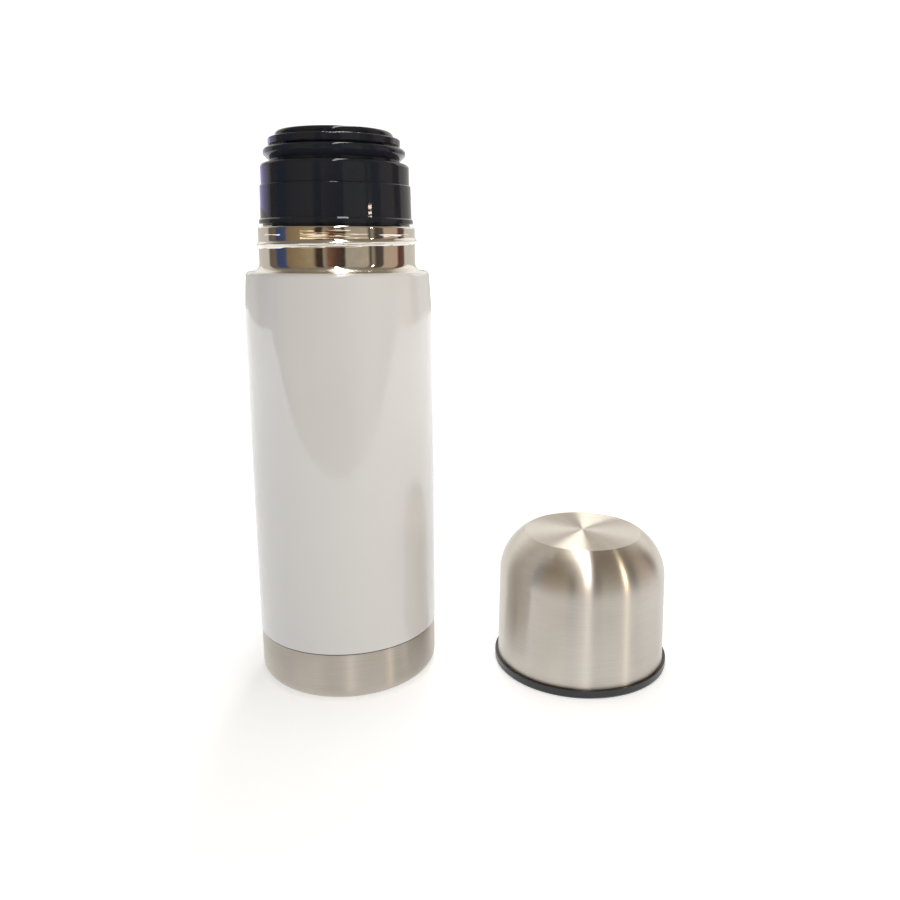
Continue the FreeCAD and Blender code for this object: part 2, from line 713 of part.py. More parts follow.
os.makedirs("parts", exist_ok=True)
for piece in pieces:
    piece.Shape.exportStep("parts/%s.step" % piece.Label)
    box = piece.Shape.BoundBox
    print("%-16s solids %d  volume %9.1f  z %7.2f to %7.2f  r %5.2f" % (
        piece.Label, len(piece.Shape.Solids), piece.Shape.Volume, box.ZMin, box.ZMax,
        box.XLength / 2))
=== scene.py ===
"""Looks for the vacuum flask: turned shells, their finishes, the light and the camera.

All lengths are in metres, in the CAD frame: the origin is the centre of the flask's underside,
+Z runs up its axis, +X points to the cup and the front faces -Y.  Bearings are in degrees round
that axis, from the front, positive to the right.  Colours are linear red, green and blue.
"""

import math

import bmesh
import bpy
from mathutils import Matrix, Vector


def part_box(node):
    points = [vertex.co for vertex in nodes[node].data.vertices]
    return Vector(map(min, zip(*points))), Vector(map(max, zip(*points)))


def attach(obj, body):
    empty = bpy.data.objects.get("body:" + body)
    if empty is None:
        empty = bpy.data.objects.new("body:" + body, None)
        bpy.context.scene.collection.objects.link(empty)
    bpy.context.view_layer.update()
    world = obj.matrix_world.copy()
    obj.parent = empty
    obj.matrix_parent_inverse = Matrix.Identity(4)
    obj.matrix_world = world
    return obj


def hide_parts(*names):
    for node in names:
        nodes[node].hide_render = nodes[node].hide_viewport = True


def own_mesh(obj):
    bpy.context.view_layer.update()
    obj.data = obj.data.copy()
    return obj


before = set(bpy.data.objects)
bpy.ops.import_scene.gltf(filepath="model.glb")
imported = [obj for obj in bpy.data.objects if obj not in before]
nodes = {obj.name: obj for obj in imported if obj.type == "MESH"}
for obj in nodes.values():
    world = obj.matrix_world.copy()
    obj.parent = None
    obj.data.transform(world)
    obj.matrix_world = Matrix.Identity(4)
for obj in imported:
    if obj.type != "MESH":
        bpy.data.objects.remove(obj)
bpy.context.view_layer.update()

MM = 0.001
TURN_STEPS = 256            # facets round a turned piece
ROUND_STEPS = 10            # facets along a rounded edge
SPRING_STEPS = 48           # facets round one coil of the spring
SPRING_SIDES = 14           # facets round its wire
TURNED_CREASE = math.radians(20)    # a turned piece is shaded sharp at edges above this angle
WIRE_CREASE = math.radians(60)      # and the spring's wire above this one
ON_AXIS = 1e-7              # a radius below this is a single point on the axis

# Places read from the CAD frame.
COAT_LOW, COAT_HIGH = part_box("body_coating")
CUP_LOW, CUP_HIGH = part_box("cup_shell")
SHELL_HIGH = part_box("outer_shell")[1]
SKIRT_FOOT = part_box("stopper_skirt")[0].z
HEAD_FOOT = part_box("stopper_head")[0].z
BODY_RADIUS = COAT_HIGH.x
SHELL_RADIUS = SHELL_HIGH.x
CUP_CENTRE = (CUP_LOW + CUP_HIGH) / 2

# Sizes that the boxes don't give.  They are the CAD's, but for the ridge's flanks, which are a
# little wider and softer here.
WALL = 0.6 * MM
BASE_CORNER = 4.75 * MM
BASE_OPENING = 27.3 * MM
TAPER_HEIGHT = 122.0 * MM           # the side draws in above this height
TAPER_ARC = 267.3 * MM
SHOULDER_RADIUS = 31.5 * MM         # over the coating
SHOULDER_CORNER = 1.5 * MM
COLLAR_RADIUS = 26.7 * MM
COLLAR_FILLET = 3.0 * MM
NECK_RADIUS = 22.1 * MM
LIP_CORNER = 0.8 * MM
RIDGE_START = 154.25 * MM           # height of the ridge's middle where it starts
RIDGE_LEAD = 3.4 * MM
RIDGE_PROUD = 0.6 * MM
RIDGE_HALF_WIDTH = 1.2 * MM
RIDGE_FADE = math.radians(20)       # turn over which its ends sink into the collar
RIDGE_RINGS = 5                     # rings of vertices in half its width
CUP_WALL = 0.5 * MM
CUP_SIDE_RADIUS = 30.7 * MM
CUP_SIDE_HEIGHT = 34.7 * MM
CUP_DISC_RADIUS = 21.5 * MM
CUP_DISC_DOME = 0.5 * MM
CUP_DOME_RADIUS = 18.3 * MM
WIRE_RADIUS = 0.45 * MM
SPRING_COILS = 6


# ---------------------------------------------------------------- turned pieces

def arc(start, end, radius, side):
    """Points after start up to end on the short arc; its centre is left of the way for side 1."""
    start, end = Vector(start), Vector(end)
    chord = end - start
    reach = math.sqrt(max(radius ** 2 - chord.length ** 2 / 4, 0.0))
    across = Vector((-chord.y, chord.x)).normalized()
    centre = (start + end) / 2 + across * reach * side
    first = math.atan2(start.y - centre.y, start.x - centre.x)
    last = math.atan2(end.y - centre.y, end.x - centre.x)
    sweep = (last - first + math.pi) % (2 * math.pi) - math.pi
    angles = [first + sweep * step / ROUND_STEPS for step in range(1, ROUND_STEPS + 1)]
    return [(centre.x + radius * math.cos(a), centre.y + radius * math.sin(a)) for a in angles]


def divided(start, end, length):
    """Points after start up to end on a straight line, no further apart than length."""
    steps = max(1, math.ceil((Vector(end) - Vector(start)).length / length))
    return [tuple(Vector(start).lerp(Vector(end), step / steps)) for step in range(1, steps + 1)]


def new_piece(name, mesh, crease):
    """A smooth object of a bmesh, shaded sharp at edges above the crease angle."""
    bmesh.ops.recalc_face_normals(mesh, faces=mesh.faces)
    data = bpy.data.meshes.new(name)
    mesh.to_mesh(data)
    mesh.free()
    data.shade_smooth()
    data.set_sharp_from_angle(angle=crease)
    piece = bpy.data.objects.new(name, data)
    bpy.context.scene.collection.objects.link(piece)
    return piece


def lathe(name, outline, centre=(0.0, 0.0), shape=None):
    """Turns a closed outline of (radius, height) points about a vertical axis into an object.

    shape(angle, radius, height) may move a point out or in.  The object's origin is on the
    axis, so a radial tangent follows the turning.
    """
    mesh = bmesh.new()
    rings = []
    for radius, height in outline:
        if radius < ON_AXIS:
            rings.append([mesh.verts.new((0.0, 0.0, height))])
            continue
        ring = []
        for step in range(TURN_STEPS):
            angle = 2 * math.pi * step / TURN_STEPS
            reach = shape(angle, radius, height) if shape else radius
            ring.append(mesh.verts.new((reach * math.cos(angle), reach * math.sin(angle), height)))
        rings.append(ring)
    for low, high in zip(rings, rings[1:] + rings[:1]):
        if len(low) == 1 and len(high) == 1:
            continue
        for step in range(TURN_STEPS):
            after = (step + 1) % TURN_STEPS
            if len(low) == 1:
                corners = (low[0], high[after], high[step])
            elif len(high) == 1:
                corners = (low[step], low[after], high[0])
            else:
                corners = (low[step], low[after], high[after], high[step])
            mesh.faces.new(corners)
    piece = new_piece(name, mesh, TURNED_CREASE)
    piece.location = (*centre, 0.0)
    return piece


def rolled_ridge(angle, radius, height):
    """The rolled ridge on the collar, one right-handed turn that starts and ends at the back."""
    if radius < COLLAR_RADIUS - WALL / 2:
        return radius
    turn = (angle - math.pi / 2) % (2 * math.pi)
    offset = (height - RIDGE_START - RIDGE_LEAD * turn / (2 * math.pi)) / RIDGE_HALF_WIDTH
    if abs(offset) >= 1:
        return radius
    fade = min(1.0, turn / RIDGE_FADE, (2 * math.pi - turn) / RIDGE_FADE)
    return radius + RIDGE_PROUD * fade * (1 + math.cos(math.pi * offset)) / 2


def make_steel_shell(band_finish, collar_finish):
    """The flask's steel: base corner, side, shoulder, fillet, collar with its ridge, and lip."""
    coat = BODY_RADIUS - SHELL_RADIUS
    shoulder = COAT_HIGH.z - coat
    shoulder_radius = SHOULDER_RADIUS - coat
    corner = SHOULDER_CORNER - coat
    fillet_top = shoulder + COLLAR_FILLET
    lip = SHELL_HIGH.z
    outline = [(BASE_OPENING, WALL), (BASE_OPENING, 0.0), (SHELL_RADIUS - BASE_CORNER, 0.0)]
    outline += arc(outline[-1], (SHELL_RADIUS, BASE_CORNER), BASE_CORNER, 1)
    outline += [(SHELL_RADIUS, COAT_LOW.z + WALL), (SHELL_RADIUS, TAPER_HEIGHT)]
    outline += arc(outline[-1], (shoulder_radius, shoulder - corner), TAPER_ARC, 1)
    outline += arc(outline[-1], (shoulder_radius - corner, shoulder), corner, 1)
    outline.append((COLLAR_RADIUS + COLLAR_FILLET, shoulder))
    outline += arc(outline[-1], (COLLAR_RADIUS, fillet_top), COLLAR_FILLET, -1)
    outline += divided(outline[-1], (COLLAR_RADIUS, lip - LIP_CORNER),
                       RIDGE_HALF_WIDTH / RIDGE_RINGS)
    outline += arc(outline[-1], (COLLAR_RADIUS - LIP_CORNER, lip), LIP_CORNER, 1)
    outline += [(NECK_RADIUS, lip), (NECK_RADIUS, lip - WALL), (COLLAR_RADIUS - WALL, lip - WALL),
                (COLLAR_RADIUS - WALL, fillet_top)]
    outline += arc(outline[-1], (COLLAR_RADIUS + COLLAR_FILLET, shoulder - WALL),
                   COLLAR_FILLET + WALL, 1)
    outline.append((shoulder_radius - corner, shoulder - WALL))
    outline += arc(outline[-1], (shoulder_radius - WALL, shoulder - corner), corner - WALL, -1)
    outline += arc(outline[-1], (SHELL_RADIUS - WALL, TAPER_HEIGHT), TAPER_ARC, -1)
    outline.append((SHELL_RADIUS - WALL, BASE_CORNER))
    outline += arc(outline[-1], (SHELL_RADIUS - BASE_CORNER, WALL), BASE_CORNER - WALL, -1)
    shell = lathe("steel_shell", outline, shape=rolled_ridge)
    shell.data.materials.append(band_finish)
    shell.data.materials.append(collar_finish)
    for face in shell.data.polygons:
        face.material_index = 1 if face.center.z > shoulder - corner else 0
    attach(shell, "flask")
    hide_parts("outer_shell")
    return shell


def make_cup_shell(finish):
    """The domed cup: near-straight side, round shoulder and an almost flat disc on top."""
    foot = (CUP_HIGH.x - CUP_LOW.x) / 2
    disc = CUP_HIGH.z - CUP_DISC_DOME
    outline = [(foot - CUP_WALL, CUP_LOW.z), (foot, CUP_LOW.z), (CUP_SIDE_RADIUS, CUP_SIDE_HEIGHT)]
    outline += arc(outline[-1], (CUP_DISC_RADIUS, disc), CUP_DOME_RADIUS, 1)
    outline += [(0.0, CUP_HIGH.z), (0.0, CUP_HIGH.z - CUP_WALL),
                (CUP_DISC_RADIUS - CUP_WALL, disc - CUP_WALL)]
    outline += arc(outline[-1], (CUP_SIDE_RADIUS - CUP_WALL, CUP_SIDE_HEIGHT), CUP_DOME_RADIUS, -1)
    cup = lathe("cup_dome", outline, centre=CUP_CENTRE.xy)
    cup.data.materials.append(finish)
    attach(cup, "cup")
    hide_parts("cup_shell")


def make_spring(finish):
    """The button's return spring, which shortens as the button goes down."""
    low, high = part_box("button_spring")
    coil_radius = high.x - WIRE_RADIUS
    foot = low.z + WIRE_RADIUS
    rise = high.z - WIRE_RADIUS - foot
    steps = SPRING_COILS * SPRING_STEPS
    mesh = bmesh.new()
    rings = []
    for step in range(steps + 1):
        angle = 2 * math.pi * step / SPRING_STEPS
        ring = []
        for side in range(SPRING_SIDES):
            tilt = 2 * math.pi * side / SPRING_SIDES
            reach = coil_radius + WIRE_RADIUS * math.cos(tilt)
            height = foot + rise * step / steps + WIRE_RADIUS * math.sin(tilt)
            ring.append(mesh.verts.new((reach * math.cos(angle), reach * math.sin(angle), height)))
        rings.append(ring)
    for near, far in zip(rings, rings[1:]):
        for side in range(SPRING_SIDES):
            after = (side + 1) % SPRING_SIDES
            mesh.faces.new((near[side], near[after], far[after], far[side]))
    mesh.faces.new(rings[0])
    mesh.faces.new(rings[-1])
    spring = new_piece("return_spring", mesh, WIRE_CREASE)
    spring.data.materials.append(finish)
    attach(spring, "stopper")
    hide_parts("button_spring")
    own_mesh(spring)


# ---------------------------------------------------------------- finishes

# The darkest and lightest colour of each finish.
BAND_STEEL = (0.49, 0.445, 0.39), (0.56, 0.51, 0.45)
CUP_STEEL = (0.63, 0.59, 0.53), (0.71, 0.665, 0.60)
INNER_STEEL = (0.55, 0.54, 0.52), (0.70, 0.69, 0.67)
MIRROR_STEEL = (0.74, 0.70, 0.64), (0.83, 0.80, 0.75)
LACQUER = (0.70, 0.685, 0.665), (0.735, 0.72, 0.70)
COPPER = (0.62, 0.33, 0.19), (0.80, 0.47, 0.30)
PAPER = (0.78, 0.78, 0.78), (0.80, 0.80, 0.80)
# Painted shadow: the colour of the dark line just under the coating's lower edge on the band.
EDGE_SHADOW = (0.03, 0.028, 0.025, 1)

# How fine each pattern is, in noise cells per metre: the same all ways, or along x, y and z.
HAIR_LINES = (70, 70, 5200)
BRUSH_SMEARS = 55.0
ROLLING_RIPPLES = (55, 55, 620)
SHEET_WAVES = 80.0
HANDLING_MARKS = 420.0
LACQUER_CLOUDS = 26.0
ORANGE_PEEL = 900.0
MOULD_SKIN = 1600.0
MOULD_HAZE = 70.0
FOIL_FOLDS = 160.0
PAPER_GRAIN = 30.0

NOISE_SPAN = (0.3, 0.7)             # nearly all of a noise's values lie in here
FULL_SPAN = (0.0, 1.0)
# Width and strength of that painted shadow under the coating's edge.
EDGE_SHADOW_WIDTH = 0.6 * MM
EDGE_SHADOW_COVER = 0.85
RIDGE_HAZE = 0.20                   # how much rougher the ridge and the fillet are


def node_adder(tree):
    """A function that adds a node to a tree and sets or links its inputs."""
    def add(kind, inputs=None, **settings):
        node = tree.nodes.new(kind)
        for key, setting in settings.items():
            setattr(node, key, setting)
        for socket, source in (inputs or {}).items():
            if isinstance(source, bpy.types.NodeSocket):
                tree.links.new(source, node.inputs[socket])
            else:
                node.inputs[socket].default_value = source
        return node

    return add


def new_finish(name):
    """A node material, its Principled shader, and functions that add nodes and link to it."""
    finish = bpy.data.materials.new(name)
    finish.use_nodes = True
    tree = finish.node_tree
    shader = next(node for node in tree.nodes if node.type == "BSDF_PRINCIPLED")

    def link(source, socket):
        tree.links.new(source, shader.inputs[socket])

    return finish, shader, node_adder(tree), link


def noise(add, place, scale=1.0, detail=3.0, roughness=0.5):
    """The value of a noise texture."""
    node = add("ShaderNodeTexNoise", {"Vector": place, "Scale": scale, "Detail": detail,
                                      "Roughness": roughness})
    return node.outputs["Fac"]


def scaled(add, vector, factors):
    """A vector with each part multiplied by its factor."""
    return add("ShaderNodeVectorMath", {0: vector, 1: factors}, operation="MULTIPLY").outputs[0]


def axis_distance(add, place):
    """How far a place is from the piece's vertical axis."""
    flat = scaled(add, place, (1, 1, 0))
    return add("ShaderNodeVectorMath", {0: flat}, operation="LENGTH").outputs["Value"]


def span(add, source, low_high, out, smooth=False):
    """A value carried from one range to another, and held at its ends."""
    node = add("ShaderNodeMapRange", {"Value": source, "From Min": low_high[0],
                                      "From Max": low_high[1], "To Min": out[0],
                                      "To Max": out[1]},
               interpolation_type="SMOOTHSTEP" if smooth else "LINEAR")
    return node.outputs["Result"]


def tinted(add, source, dark_light):
    """A colour between a dark and a light one, by a 0 to 1 value."""
    ramp = add("ShaderNodeValToRGB", {"Fac": source})
    for element, colour in zip(ramp.color_ramp.elements, dark_light):
        element.color = (*colour, 1)
    return ramp.outputs["Color"]


def blended(add, factor, first, second):
    """The first colour where the factor is 0, the second where it is 1."""
    node = add("ShaderNodeMix", {"Factor": factor, "A": first, "B": second}, data_type="RGBA")
    return node.outputs["Result"]


def bumped(add, height, strength, depth, under=None):
    """The normal of a bumpy surface, on top of another bump's normal if one is given."""
    inputs = {"Height": height, "Strength": strength, "Distance": depth}
    if under is not None:
        inputs["Normal"] = under
    return add("ShaderNodeBump", inputs).outputs["Normal"]


def brushed_steel(name, colours, roughness, shadow_edge_height=None):
    """Steel brushed round its axis: hair lines run round, and highlights are drawn out across
    them.  A painted shadow may darken a thin line under a height where another piece's edge sits.

    The lines vary with height on a side and with radius on a disc, so both count in the
    direction across the lines, and the noise is long in the other two.
    """
    finish, shader, add, link = new_finish(name)
    place = add("ShaderNodeTexCoord").outputs["Object"]
    parts = add("ShaderNodeSeparateXYZ", {"Vector": place})
    across = add("ShaderNodeMath", {0: parts.outputs["Z"], 1: axis_distance(add, place)},
                 operation="SUBTRACT")
    unrolled = add("ShaderNodeCombineXYZ", {"X": parts.outputs["X"], "Y": parts.outputs["Y"],
                                            "Z": across.outputs[0]})
    lines = noise(add, scaled(add, unrolled.outputs[0], HAIR_LINES), detail=4.0, roughness=0.65)
    colour = tinted(add, span(add, lines, NOISE_SPAN, FULL_SPAN), colours)
    # Painted shadow: a thin dark line just under the edge that sits at this height.
    if shadow_edge_height is not None:
        edge = (shadow_edge_height - EDGE_SHADOW_WIDTH, shadow_edge_height - EDGE_SHADOW_WIDTH / 2)
        cover = span(add, parts.outputs["Z"], edge, (0.0, EDGE_SHADOW_COVER))
        colour = blended(add, cover, colour, EDGE_SHADOW)
    link(colour, "Base Color")
    smears = noise(add, place, BRUSH_SMEARS)
    link(span(add, smears, NOISE_SPAN, (roughness - 0.03, roughness + 0.03)), "Roughness")
    link(bumped(add, lines, strength=0.05, depth=0.03 * MM), "Normal")
    tangent = add("ShaderNodeTangent", direction_type="RADIAL", axis="Z")
    link(tangent.outputs["Tangent"], "Tangent")
    shader.inputs["Metallic"].default_value = 1.0
    shader.inputs["Anisotropic"].default_value = 1.0
    shader.inputs["Anisotropic Rotation"].default_value = 0.25
    return finish


def polished_steel(name):
    """Mirror-bright rolled steel: slight waves, ripples left by rolling above the ridge, and a
    softer gloss where the ridge and the fillet stand out from the collar."""
    finish, shader, add, link = new_finish(name)
    place = add("ShaderNodeTexCoord").outputs["Object"]
    marks = noise(add, place, HANDLING_MARKS, detail=5.0)
    link(tinted(add, marks, MIRROR_STEEL), "Base Color")
    gloss = span(add, marks, (0.35, 0.7), (0.03, 0.07))
    ridge = (COLLAR_RADIUS + RIDGE_PROUD / 6, COLLAR_RADIUS + RIDGE_PROUD)
    haze = span(add, axis_distance(add, place), ridge, (0.0, RIDGE_HAZE))
    dulled = add("ShaderNodeMath", {0: gloss, 1: haze}, operation="ADD")
    link(dulled.outputs[0], "Roughness")
    height = add("ShaderNodeSeparateXYZ", {"Vector": place}).outputs["Z"]
    ridge_top = RIDGE_START + RIDGE_HALF_WIDTH
    above = span(add, height, (ridge_top + RIDGE_LEAD / 2, ridge_top + RIDGE_LEAD), FULL_SPAN)
    ripples = noise(add, scaled(add, place, ROLLING_RIPPLES), detail=2.0)
    rippled = add("ShaderNodeMath", {0: ripples, 1: above}, operation="MULTIPLY")
    waves = noise(add, place, SHEET_WAVES, detail=1.0)
    wavy = bumped(add, waves, strength=0.2, depth=0.4 * MM)
    link(bumped(add, rippled.outputs[0], strength=0.9, depth=0.2 * MM, under=wavy), "Normal")
    shader.inputs["Metallic"].default_value = 1.0
    return finish


def white_lacquer(name):
    """Thick glossy lacquer: warm white under a clear coat with a trace of orange peel."""
    finish, shader, add, link = new_finish(name)
    place = add("ShaderNodeTexCoord").outputs["Object"]
    clouds = noise(add, place, LACQUER_CLOUDS)
    link(tinted(add, clouds, LACQUER), "Base Color")
    link(span(add, clouds, NOISE_SPAN, (0.30, 0.38)), "Roughness")
    peel = bumped(add, noise(add, place, ORANGE_PEEL, detail=1.0), strength=0.02, depth=0.1 * MM)
    link(peel, "Normal")
    link(peel, "Coat Normal")
    shader.inputs["Coat Weight"].default_value = 1.0
    shader.inputs["Coat Roughness"].default_value = 0.02
    shader.inputs["Coat IOR"].default_value = 1.6
    return finish


def moulded_plastic(name, colour, roughness, texture, coat=0.0, specular=0.5):
    """Moulded plastic: a fine skin texture and a little unevenness in its gloss."""
    finish, shader, add, link = new_finish(name)
    place = add("ShaderNodeTexCoord").outputs["Object"]
    haze = noise(add, place, MOULD_HAZE, detail=4.0)
    lighter = tuple(channel * 1.25 + 0.002 for channel in colour)
    link(tinted(add, haze, (colour, lighter)), "Base Color")
    link(span(add, haze, NOISE_SPAN, (roughness * 0.8, roughness * 1.2)), "Roughness")
    skin = noise(add, place, MOULD_SKIN, detail=2.0)
    link(bumped(add, skin, strength=texture, depth=0.1 * MM), "Normal")
    shader.inputs["Specular IOR Level"].default_value = specular
    shader.inputs["Coat Weight"].default_value = coat
    shader.inputs["Coat Roughness"].default_value = 0.03
    return finish


def copper_foil(name):
    """Crinkled copper foil."""
    finish, shader, add, link = new_finish(name)
    place = add("ShaderNodeTexCoord").outputs["Object"]
    folds = add("ShaderNodeTexVoronoi", {"Vector": place, "Scale": FOIL_FOLDS})
    link(tinted(add, folds.outputs["Distance"], COPPER), "Base Color")
    link(bumped(add, folds.outputs["Distance"], strength=0.3, depth=0.4 * MM), "Normal")
    shader.inputs["Metallic"].default_value = 1.0
    shader.inputs["Roughness"].default_value = 0.25
    return finish


def paint_nodes(finish, *names):
    """Gives CAD nodes one finish."""
    for name in names:
        materials = nodes[name].data.materials
        for index in range(len(materials)):
            materials[index] = finish
        if not materials:
            materials.append(finish)


# ---------------------------------------------------------------- stage, light and camera

FLOOR_REACH = 4.0
TABLE_REACH = 2.0
TABLE_FRONT = -0.32                 # where the mirrored table ends towards the front
GLOW_SPAN = (0.22, 0.75)            # distances over which the ground's glow changes
NEAR_GLOW = 0.50
FLOOR_GLOW = 1.2
TABLE_GLOW = 0.22
BACKDROP_GLOW = 1.1

# The colours that shiny surfaces mirror: walls by bearing, and a ceiling that takes over between
# two heights, given as the sine of the elevation.
WALLS = [
    (-180, (0.68, 0.66, 0.62)),
    (-110, (0.62, 0.58, 0.52)),
    (-105, (0.15, 0.12, 0.10)),
    (-92, (0.17, 0.13, 0.10)),
    (-88, (0.05, 0.07, 0.15)),
    (-72, (0.06, 0.08, 0.16)),
    (-68, (0.22, 0.16, 0.10)),
    (-48, (0.30, 0.22, 0.12)),
    (-28, (0.36, 0.28, 0.17)),
    (-22, (0.05, 0.035, 0.025)),
    (-14, (0.05, 0.035, 0.025)),
    (-11, (0.34, 0.29, 0.22)),
    (-5, (0.20, 0.10, 0.06)),
    (8, (0.09, 0.05, 0.04)),
    (18, (0.05, 0.04, 0.03)),
    (21, (0.40, 0.36, 0.29)),
    (52, (0.44, 0.38, 0.30)),
    (56, (0.06, 0.05, 0.04)),
    (60, (0.34, 0.28, 0.21)),
    (66, (0.07, 0.06, 0.05)),
    (77, (0.10, 0.08, 0.07)),
    (80, (0.48, 0.38, 0.29)),
    (104, (0.52, 0.38, 0.30)),
    (109, (0.12, 0.05, 0.03)),
    (121, (0.14, 0.09, 0.07)),
    (125, (0.66, 0.62, 0.56)),
    (180, (0.68, 0.66, 0.62)),
]
CEILING = (0.24, 0.20, 0.15, 1)
CEILING_SPAN = (0.42, 0.72)

# The light that falls on matt surfaces, by bearing.
DAYLIGHT = [
    (-180, (0.26, 0.257, 0.254)),
    (-105, (0.15, 0.148, 0.145)),
    (-35, (0.02, 0.0195, 0.019)),
    (30, (0.10, 0.098, 0.096)),
    (100, (0.42, 0.41, 0.40)),
    (150, (0.55, 0.54, 0.53)),
    (180, (0.26, 0.257, 0.254)),
]

# Colours of the lights.
STRIP_WHITE = (1.0, 0.97, 0.93)
WALL_WHITE = (1.0, 0.98, 0.95)
LAMP_YELLOW = (1.0, 0.84, 0.62)
SCREEN_BLUE = (0.28, 0.20, 1.0)
STRIP_TURN = math.radians(4)
BULB_ELEVATIONS = (4.75, 4.28, 3.85)

# The camera, which stands close by and looks a little down on the pair.
CAMERA_PLACE = (46.2 * MM, -295.0 * MM, 155.2 * MM)
CAMERA_DIP = 11.75                  # degrees below the horizon
CAMERA_LENS = 33.3                  # millimetres, as is the sensor's width
CAMERA_SENSOR = 36.0
CAMERA_SHIFT = (-0.0233, -0.0348)


def flat_sheet(name, left, right, front, back, finish):
    """A rectangle on the ground that belongs to the stage."""
    data = bpy.data.meshes.new(name)
    corners = [(left, front, 0), (right, front, 0), (right, back, 0), (left, back, 0)]
    data.from_pydata(corners, [], [(0, 1, 2, 3)])
    data.materials.append(finish)
    sheet = bpy.data.objects.new(name, data)
    bpy.context.scene.collection.objects.link(sheet)
    return sheet


def pale_paper(name, far_glow):
    """Matt white paper whose glow changes with the distance from the flask."""
    finish, shader, add, link = new_finish(name)
    place = add("ShaderNodeTexCoord").outputs["Object"]
    link(tinted(add, noise(add, place, PAPER_GRAIN), PAPER), "Base Color")
    distance = add("ShaderNodeVectorMath", {0: place}, operation="LENGTH")
    glow = span(add, distance.outputs["Value"], GLOW_SPAN, (NEAR_GLOW, far_glow), smooth=True)
    link(glow, "Emission Strength")
    shader.inputs["Emission Color"].default_value = (1.0, 1.0, 1.0, 1.0)
    shader.inputs["Roughness"].default_value = 0.9
    shader.inputs["Specular IOR Level"].default_value = 0.1
    return finish


def make_stage():
    """A pale floor that runs out of sight and brightens into the white surroundings.  Shiny
    surfaces mirror a table instead, which is dimmer far off and ends in front of the flask."""
    floor = flat_sheet("floor", -FLOOR_REACH, FLOOR_REACH, -FLOOR_REACH, FLOOR_REACH,
                       pale_paper("pale_floor", FLOOR_GLOW))
    floor.visible_glossy = False
    table = flat_sheet("mirrored_table", -TABLE_REACH, TABLE_REACH, TABLE_FRONT, TABLE_REACH,
                       pale_paper("pale_table", TABLE_GLOW))
    table.visible_camera = False
    table.visible_diffuse = False
    table.visible_shadow = False


def bearing_ramp(add, turn, stops):
    """A colour that runs once round the room, from behind the flask by its left."""
    node = add("ShaderNodeValToRGB", {"Fac": turn})
    elements = node.color_ramp.elements
    while len(elements) < len(stops):
        elements.new(0.5)
    for element, (bearing, colour) in zip(elements, stops):
        element.position = (bearing + 180) / 360
        element.color = (*colour, 1)
    return node.outputs["Color"]


def make_room():
    """The world: white behind everything, a room of warm walls to shiny surfaces, and soft
    light for matt ones that is stronger from the right."""
    world = bpy.data.worlds.new("room")
    bpy.context.scene.world = world
    world.use_nodes = True
    world.node_tree.nodes.clear()
    add = node_adder(world.node_tree)
    way = add("ShaderNodeSeparateXYZ",
              {"Vector": add("ShaderNodeTexCoord").outputs["Generated"]})
    forward = add("ShaderNodeMath", {0: way.outputs["Y"], 1: -1.0}, operation="MULTIPLY")
    bearing = add("ShaderNodeMath", {0: way.outputs["X"], 1: forward.outputs[0]},
                  operation="ARCTAN2")
    turn = span(add, bearing.outputs[0], (-math.pi, math.pi), FULL_SPAN)
    height = span(add, way.outputs["Z"], CEILING_SPAN, FULL_SPAN)
    mirrored = blended(add, height, bearing_ramp(add, turn, WALLS), CEILING)
    shiny = add("ShaderNodeBackground", {"Color": mirrored, "Strength": 1.0})
    matt = add("ShaderNodeBackground", {"Color": bearing_ramp(add, turn, DAYLIGHT),
                                        "Strength": 1.0})
    backdrop = add("ShaderNodeBackground", {"Color": (1, 1, 1, 1), "Strength": BACKDROP_GLOW})
    rays = add("ShaderNodeLightPath")
    lit = add("ShaderNodeMixShader", {0: rays.outputs["Is Glossy Ray"],
                                      1: matt.outputs[0], 2: shiny.outputs[0]})
    seen = add("ShaderNodeMixShader", {0: rays.outputs["Is Camera Ray"],
                                       1: lit.outputs[0], 2: backdrop.outputs[0]})
    add("ShaderNodeOutputWorld", {"Surface": seen.outputs[0]})


def toward(bearing, elevation, distance, height):
    """A point at a bearing and elevation in degrees, seen from the flask's axis at a height."""
    turn, lift = math.radians(bearing), math.radians(elevation)
    return (distance * math.sin(turn), -distance * math.cos(turn),
            height + distance * math.tan(lift))


def area_light(name, place, size, power, colour):
    """A rectangular light that faces the middle of the pair and isn't seen directly."""
    light = bpy.data.lights.new(name, "AREA")
    light.shape = "RECTANGLE"
    light.size, light.size_y = size
    light.energy = power
    light.color = colour
    lamp = bpy.data.objects.new(name, light)
    lamp.location = place
    middle = Vector((CUP_CENTRE.x / 2, 0.0, SHELL_HIGH.z / 2))
    lamp.rotation_euler = (middle - Vector(place)).to_track_quat("-Z", "Y").to_euler()
    lamp.visible_camera = False
    bpy.context.scene.collection.objects.link(lamp)
    return lamp


def aimed(light, pieces, state):
    """Lets a light shine only on some pieces, or on all but those."""
    receivers = bpy.data.collections.new(f"{state.lower()}_{light.name}")
    for piece in pieces:
        receivers.objects.link(piece)
    for linked in receivers.collection_objects:
        linked.light_linking.link_state = state
    light.light_linking.receiver_collection = receivers


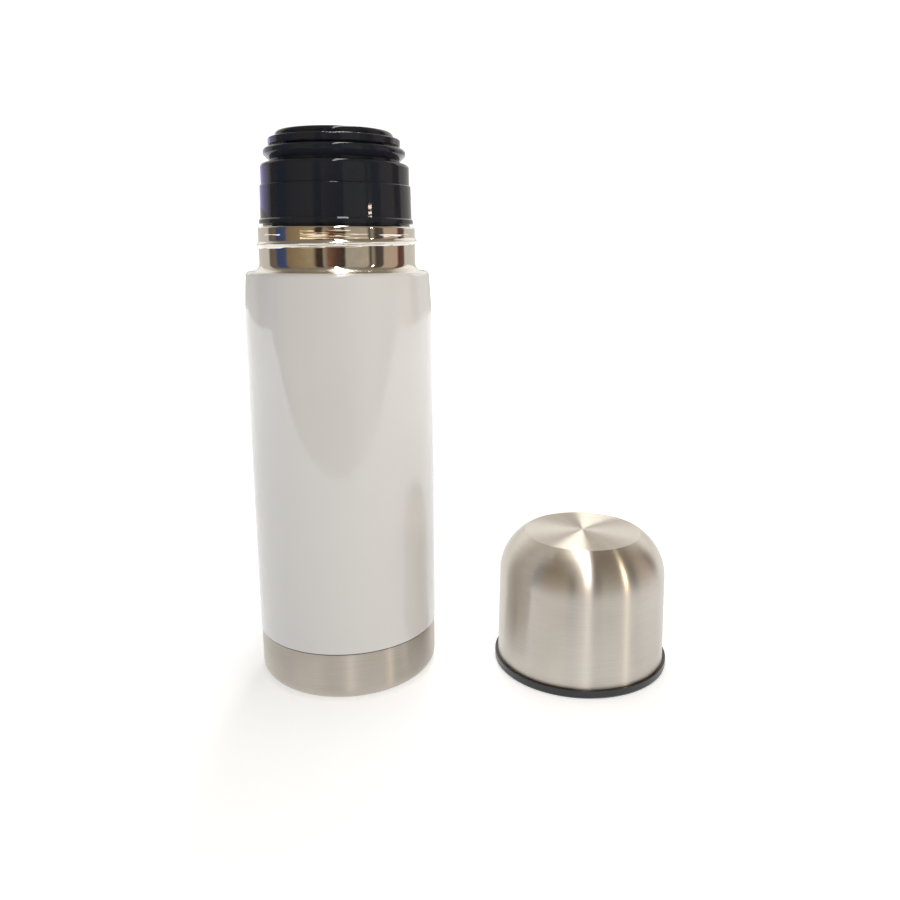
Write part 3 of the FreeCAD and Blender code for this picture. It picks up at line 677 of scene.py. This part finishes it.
def make_lights(steel_shell):
    """A long soft strip overhead, a bright wall behind that only reflections show, and a warm
    lamp at the right that doesn't reach the stopper.  The others reach single pieces: a blue
    screen behind at the left the stopper, three bulbs its skirt, and a low glow the steel
    shell."""
    strip = area_light("ceiling_strip", (0.12, -0.47, 1.3), size=(0.16, 3.4), power=16.0,
                       colour=STRIP_WHITE)
    strip.rotation_euler = (0.0, 0.0, STRIP_TURN)
    back = area_light("back_wall", (0.1, 1.3, 1.0), size=(3.4, 1.4), power=6.5,
                      colour=WALL_WHITE)
    back.visible_diffuse = False
    lamp = area_light("right_lamp", toward(60, 18, 1.2, SKIRT_FOOT), size=(0.025, 0.25),
                      power=1.5, colour=LAMP_YELLOW)
    screen = area_light("left_screen", toward(-138, 6, 1.0, HEAD_FOOT), size=(0.9, 0.11),
                        power=0.20, colour=SCREEN_BLUE)
    bulbs = [area_light(f"bulb_{elevation}", toward(59, elevation, 1.2, SKIRT_FOOT),
                        size=(0.11, 0.004), power=0.06, colour=LAMP_YELLOW)
             for elevation in BULB_ELEVATIONS]
    glow = area_light("low_glow", toward(5, -5, 1.5, SHELL_HIGH.z), size=(3.6, 0.1), power=1.2,
                      colour=LAMP_YELLOW)
    stopper = [nodes[name] for name in ("stopper_head", "stopper_skirt", "push_button")]
    aimed(screen, stopper, "INCLUDE")
    aimed(lamp, stopper, "EXCLUDE")
    aimed(glow, [steel_shell], "INCLUDE")
    for bulb in bulbs:
        aimed(bulb, [nodes["stopper_skirt"]], "INCLUDE")


def make_camera():
    """The camera at its place, tilted down."""
    data = bpy.data.cameras.new("camera")
    data.lens = CAMERA_LENS
    data.sensor_width = CAMERA_SENSOR
    data.shift_x, data.shift_y = CAMERA_SHIFT
    camera = bpy.data.objects.new("camera", data)
    camera.location = CAMERA_PLACE
    camera.rotation_euler = (math.radians(90 - CAMERA_DIP), 0.0, 0.0)
    bpy.context.scene.collection.objects.link(camera)
    bpy.context.scene.camera = camera


# ---------------------------------------------------------------- the scene

make_camera()
make_stage()
make_room()

# The band gets a painted shadow just under the coating's lower edge.
band = brushed_steel("brushed_band", BAND_STEEL, roughness=0.33, shadow_edge_height=COAT_LOW.z)
cup_steel = brushed_steel("brushed_cup", CUP_STEEL, roughness=0.31)
inner_steel = brushed_steel("inner_steel", INNER_STEEL, roughness=0.34)
gloss_black = moulded_plastic("gloss_black", (0.0135, 0.0155, 0.021), roughness=0.02,
                              texture=0.003, specular=0.32)
satin_black = moulded_plastic("satin_black", (0.010, 0.010, 0.011), roughness=0.38,
                              texture=0.08, coat=0.2)
dark_plastic = moulded_plastic("dark_plastic", (0.035, 0.035, 0.04), roughness=0.45,
                               texture=0.10)
silicone = moulded_plastic("silicone", (0.55, 0.55, 0.53), roughness=0.55, texture=0.05)
foam = moulded_plastic("foam", (0.72, 0.68, 0.58), roughness=0.9, texture=0.3)

make_lights(make_steel_shell(band, polished_steel("polished_collar")))
make_cup_shell(cup_steel)
make_spring(inner_steel)
paint_nodes(white_lacquer("white_lacquer"), "body_coating")
paint_nodes(gloss_black, "stopper_head", "stopper_skirt", "push_button", "stopper_plug")
paint_nodes(silicone, "plug_seal", "valve_seal", "stem_seal")
paint_nodes(dark_plastic, "valve_tube", "plug_lid", "valve_stem", "valve_disc", "base_cover")
paint_nodes(inner_steel, "base_plate", "inner_vessel", "inner_floor", "getter_clip",
            "getter_pill", "vacuum_seal", "stem_clip")
paint_nodes(satin_black, "cup_liner")
paint_nodes(foam, "plug_insulation")
paint_nodes(copper_foil("copper_foil"), "radiation_foil")

bpy.context.scene.view_settings.view_transform = "Standard"
bpy.context.scene.view_settings.look = "None"
